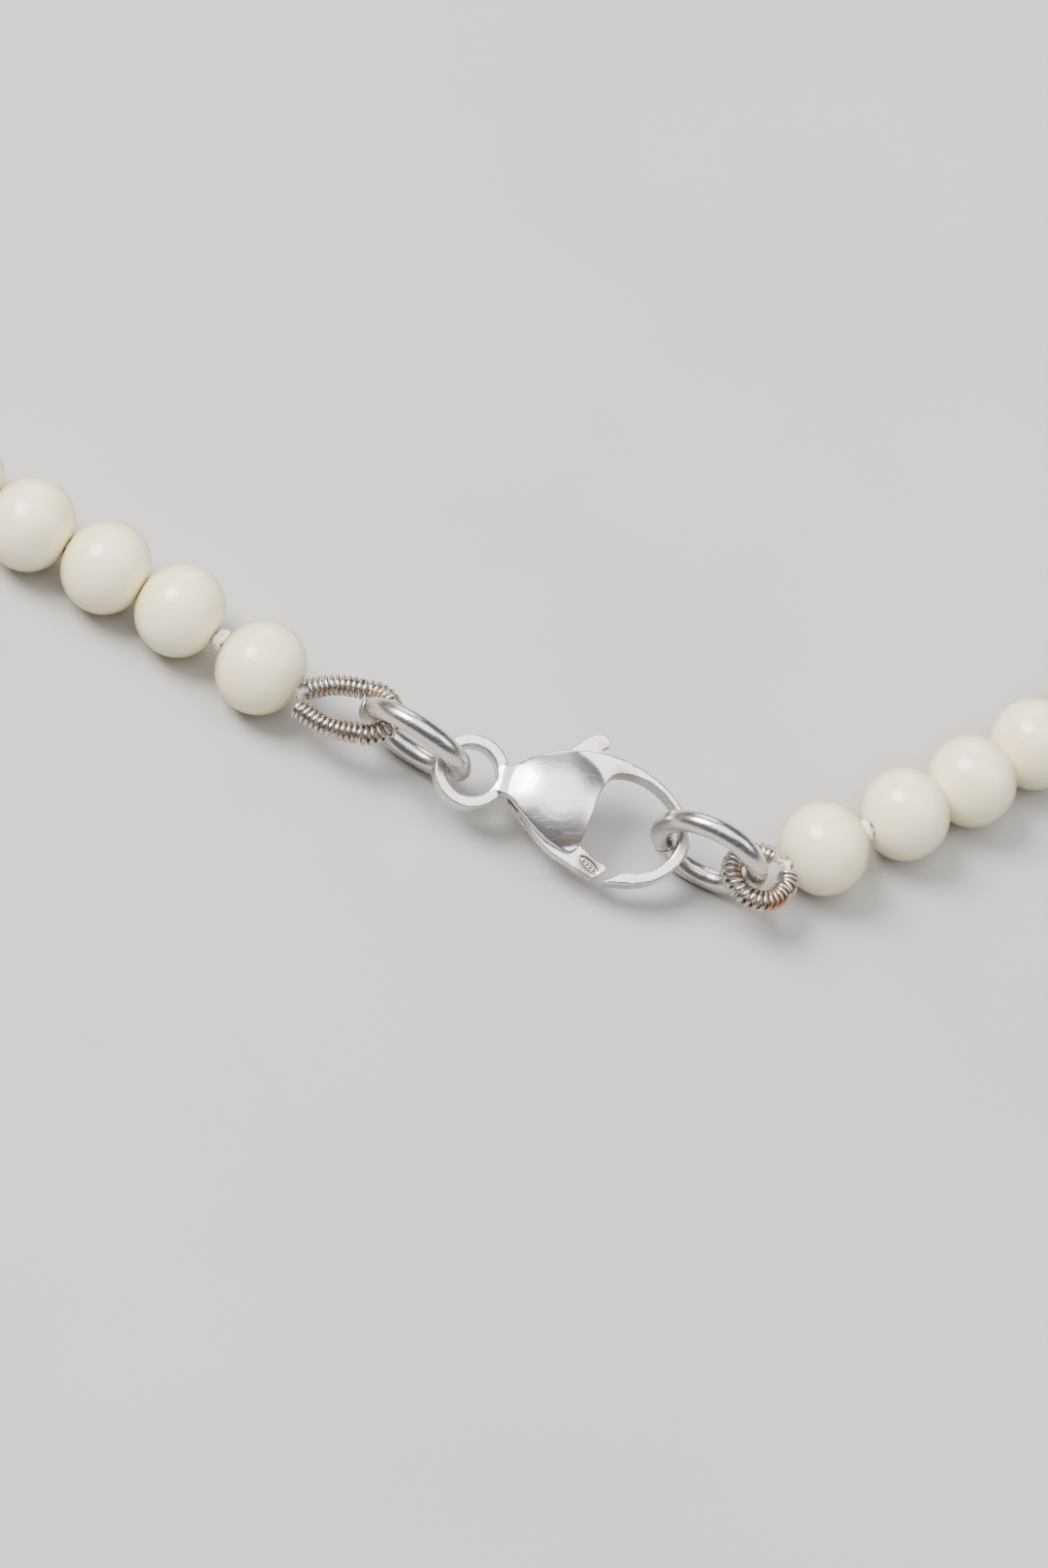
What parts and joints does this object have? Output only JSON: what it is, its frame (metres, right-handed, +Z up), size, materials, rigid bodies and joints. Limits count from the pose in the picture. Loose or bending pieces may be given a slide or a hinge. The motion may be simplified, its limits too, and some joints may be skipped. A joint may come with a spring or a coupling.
{
  "type": "pearl necklace",
  "caption": "Single-strand pearl necklace laid in a closed oval, strung on silk with coiled-wire gimp at both ends, jump rings and a lobster clasp with a sprung thumb lever.",
  "frame": {"origin": "centre of the closed necklace's outline, on the surface it lies on", "axes": "+Z up from that surface, +Y away from the clasp along the long way of the oval, +X from the eye end of the clasp towards its hook end"},
  "size_m": [0.1242, 0.1609, 0.0064],
  "materials": {
    "pearl": "lustrous cream-white nacre",
    "silk": "twisted white silk",
    "gimp": "silver-plated copper wire, worn to copper in places",
    "silver": "polished silver, softly scratched and slightly tarnished",
    "spring_steel": "drawn spring wire"
  },
  "bodies": {
    "strand_01": {"pearls_01": "pearl", "silk_01": "silk"},
    "strand_02": {"pearls_02": "pearl", "silk_02": "silk"},
    "strand_03": {"pearls_03": "pearl", "silk_03": "silk"},
    "strand_04": {"pearls_04": "pearl", "silk_04": "silk"},
    "strand_05": {"pearls_05": "pearl", "silk_05": "silk"},
    "strand_06": {"pearls_06": "pearl", "silk_06": "silk"},
    "strand_07": {"pearls_07": "pearl", "silk_07": "silk"},
    "strand_08": {"pearls_08": "pearl", "silk_08": "silk"},
    "strand_09": {"pearls_09": "pearl", "silk_09": "silk"},
    "strand_10": {"pearls_10": "pearl", "silk_10": "silk"},
    "strand_11": {"pearls_11": "pearl", "silk_11": "silk"},
    "strand_12": {"pearls_12": "pearl", "silk_12": "silk"},
    "strand_13": {"pearls_13": "pearl", "silk_13": "silk"},
    "strand_14": {"pearls_14": "pearl", "silk_14": "silk"},
    "strand_15": {"pearls_15": "pearl", "silk_15": "silk"},
    "strand_16": {"pearls_16": "pearl", "silk_16": "silk"},
    "strand_17": {"pearls_17": "pearl", "silk_17": "silk"},
    "strand_18": {"pearls_18": "pearl", "silk_18": "silk"},
    "strand_19": {"pearls_19": "pearl", "silk_19": "silk"},
    "strand_20": {"pearls_20": "pearl", "silk_20": "silk"},
    "strand_21": {"pearls_21": "pearl", "silk_21": "silk"},
    "strand_22": {"pearls_22": "pearl", "silk_22": "silk"},
    "end_left": {"end_pearl_left": "pearl", "silk_end_left": "silk", "gimp_left": "gimp"},
    "end_right": {"end_pearl_right": "pearl", "silk_end_right": "silk", "gimp_right": "gimp"},
    "jump_ring_left": {"jump_ring_left": "silver"},
    "jump_ring_right": {"jump_ring_right": "silver"},
    "clasp": {"clasp_body": "silver", "rivet": "silver", "trigger_spring": "spring_steel"},
    "trigger": {"trigger_lever": "silver"}
  },
  "joints": [
    {"name": "strand_bend_00", "type": "hinge", "parent": "strand_01", "child": "end_left", "pos_m": [-0.01633, -0.06582, 0.0025], "axis": [0, 0, 1], "range_deg": [-5.82, 5.82]},
    {"name": "strand_bend_01", "type": "hinge", "parent": "strand_02", "child": "strand_01", "pos_m": [-0.0315, -0.05593, 0.0025], "axis": [0, 0, 1], "range_deg": [-2.95, 2.95]},
    {"name": "strand_bend_02", "type": "hinge", "parent": "strand_03", "child": "strand_02", "pos_m": [-0.0439, -0.04317, 0.0025], "axis": [0, 0, 1], "range_deg": [-1.11, 1.11]},
    {"name": "strand_bend_03", "type": "hinge", "parent": "strand_04", "child": "strand_03", "pos_m": [-0.05279, -0.02776, 0.0025], "axis": [0, 0, 1], "range_deg": [-2.34, 2.34]},
    {"name": "strand_bend_04", "type": "hinge", "parent": "strand_05", "child": "strand_04", "pos_m": [-0.05803, -0.01074, 0.0025], "axis": [0, 0, 1], "range_deg": [-4.24, 4.24]},
    {"name": "strand_bend_05", "type": "hinge", "parent": "strand_06", "child": "strand_05", "pos_m": [-0.05967, 0.00698, 0.0025], "axis": [0, 0, 1], "range_deg": [-5.3, 5.3]},
    {"name": "strand_bend_06", "type": "hinge", "parent": "strand_07", "child": "strand_06", "pos_m": [-0.05779, 0.02469, 0.0025], "axis": [0, 0, 1], "range_deg": [-4.35, 4.35]},
    {"name": "strand_bend_07", "type": "hinge", "parent": "strand_08", "child": "strand_07", "pos_m": [-0.05228, 0.04161, 0.0025], "axis": [0, 0, 1], "range_deg": [-1.35, 1.35]},
    {"name": "strand_bend_08", "type": "hinge", "parent": "strand_09", "child": "strand_08", "pos_m": [-0.04295, 0.05676, 0.0025], "axis": [0, 0, 1], "range_deg": [-0.32, 0.32]},
    {"name": "strand_bend_09", "type": "hinge", "parent": "strand_10", "child": "strand_09", "pos_m": [-0.02988, 0.06879, 0.0025], "axis": [0, 0, 1], "range_deg": [-3.18, 3.18]},
    {"name": "strand_bend_10", "type": "hinge", "parent": "strand_11", "child": "strand_10", "pos_m": [-0.01375, 0.0762, 0.0025], "axis": [0, 0, 1], "range_deg": [-3.51, 3.51]},
    {"name": "strand_bend_11", "type": "hinge", "parent": "strand_11", "child": "strand_12", "pos_m": [0.00392, 0.07781, 0.0025], "axis": [0, 0, 1], "range_deg": [-3.6, 3.6]},
    {"name": "strand_bend_12", "type": "hinge", "parent": "strand_12", "child": "strand_13", "pos_m": [0.02108, 0.07332, 0.0025], "axis": [0, 0, 1], "range_deg": [-3.75, 3.75]},
    {"name": "strand_bend_13", "type": "hinge", "parent": "strand_13", "child": "strand_14", "pos_m": [0.03586, 0.06348, 0.0025], "axis": [0, 0, 1], "range_deg": [-3.04, 3.04]},
    {"name": "strand_bend_14", "type": "hinge", "parent": "strand_14", "child": "strand_15", "pos_m": [0.04715, 0.04974, 0.0025], "axis": [0, 0, 1], "range_deg": [-0.87, 0.87]},
    {"name": "strand_bend_15", "type": "hinge", "parent": "strand_15", "child": "strand_16", "pos_m": [0.05468, 0.03362, 0.0025], "axis": [0, 0, 1], "range_deg": [-2.18, 2.18]},
    {"name": "strand_bend_16", "type": "hinge", "parent": "strand_16", "child": "strand_17", "pos_m": [0.05871, 0.01627, 0.0025], "axis": [0, 0, 1], "range_deg": [-3.92, 3.92]},
    {"name": "strand_bend_17", "type": "hinge", "parent": "strand_17", "child": "strand_18", "pos_m": [0.05961, -0.00152, 0.0025], "axis": [0, 0, 1], "range_deg": [-4.26, 4.26]},
    {"name": "strand_bend_18", "type": "hinge", "parent": "strand_18", "child": "strand_19", "pos_m": [0.05754, -0.01922, 0.0025], "axis": [0, 0, 1], "range_deg": [-3.71, 3.71]},
    {"name": "strand_bend_19", "type": "hinge", "parent": "strand_19", "child": "strand_20", "pos_m": [0.05237, -0.03626, 0.0025], "axis": [0, 0, 1], "range_deg": [-2.66, 2.66]},
    {"name": "strand_bend_20", "type": "hinge", "parent": "strand_20", "child": "strand_21", "pos_m": [0.04389, -0.05191, 0.0025], "axis": [0, 0, 1], "range_deg": [-0.35, 0.35]},
    {"name": "strand_bend_21", "type": "hinge", "parent": "strand_21", "child": "strand_22", "pos_m": [0.03206, -0.0652, 0.0025], "axis": [0, 0, 1], "range_deg": [-2.2, 2.2]},
    {"name": "strand_bend_22", "type": "hinge", "parent": "strand_22", "child": "end_right", "pos_m": [0.01695, -0.0752, 0.0025], "axis": [0, 0, 1], "range_deg": [-5.34, 5.34]},
    {"name": "jump_ring_left_lean", "type": "hinge", "parent": "end_left", "child": "jump_ring_left", "pos_m": [-0.00673, -0.07165, 0.00317], "axis": [0.83, -0.5577, 0], "range_deg": [-8, 8]},
    {"name": "jump_ring_right_lean", "type": "hinge", "parent": "end_right", "child": "jump_ring_right", "pos_m": [0.00826, -0.07736, 0.00321], "axis": [0.8829, -0.4695, 0], "range_deg": [-12, 12]},
    {"name": "clasp_roll", "type": "hinge", "parent": "end_left", "child": "clasp", "pos_m": [-0.00392, -0.07331, 0.00298], "axis": [0.9711, -0.2385, 0], "range_deg": [-8, 8]},
    {"name": "trigger_pivot", "type": "hinge", "parent": "clasp", "child": "trigger", "pos_m": [0.00126, -0.07361, 0.0033], "axis": [-0.0777, -0.3162, 0.9455], "range_deg": [0, 22], "stiffness_Nm_per_rad": 0.004, "springref_deg": -14.32}
  ],
  "couplings": [
    {"joint": "strand_bend_00", "follows": "strand_bend_11", "ratio": -1.6028},
    {"joint": "strand_bend_01", "follows": "strand_bend_11", "ratio": -0.8067},
    {"joint": "strand_bend_02", "follows": "strand_bend_11", "ratio": -0.2932},
    {"joint": "strand_bend_03", "follows": "strand_bend_11", "ratio": 0.6371},
    {"joint": "strand_bend_04", "follows": "strand_bend_11", "ratio": 1.1626},
    {"joint": "strand_bend_05", "follows": "strand_bend_11", "ratio": 1.4584},
    {"joint": "strand_bend_06", "follows": "strand_bend_11", "ratio": 1.1935},
    {"joint": "strand_bend_07", "follows": "strand_bend_11", "ratio": 0.3619},
    {"joint": "strand_bend_08", "follows": "strand_bend_11", "ratio": -0.0743},
    {"joint": "strand_bend_09", "follows": "strand_bend_11", "ratio": -0.8684},
    {"joint": "strand_bend_10", "follows": "strand_bend_11", "ratio": -0.9609},
    {"joint": "strand_bend_12", "follows": "strand_bend_11", "ratio": 1.0283},
    {"joint": "strand_bend_13", "follows": "strand_bend_11", "ratio": 0.8294},
    {"joint": "strand_bend_14", "follows": "strand_bend_11", "ratio": -0.2289},
    {"joint": "strand_bend_15", "follows": "strand_bend_11", "ratio": -0.5912},
    {"joint": "strand_bend_16", "follows": "strand_bend_11", "ratio": -1.0755},
    {"joint": "strand_bend_17", "follows": "strand_bend_11", "ratio": -1.1681},
    {"joint": "strand_bend_18", "follows": "strand_bend_11", "ratio": -1.0161},
    {"joint": "strand_bend_19", "follows": "strand_bend_11", "ratio": -0.7248},
    {"joint": "strand_bend_20", "follows": "strand_bend_11", "ratio": 0.0845},
    {"joint": "strand_bend_21", "follows": "strand_bend_11", "ratio": 0.597},
    {"joint": "strand_bend_22", "follows": "strand_bend_11", "ratio": 1.4697}
  ]
}
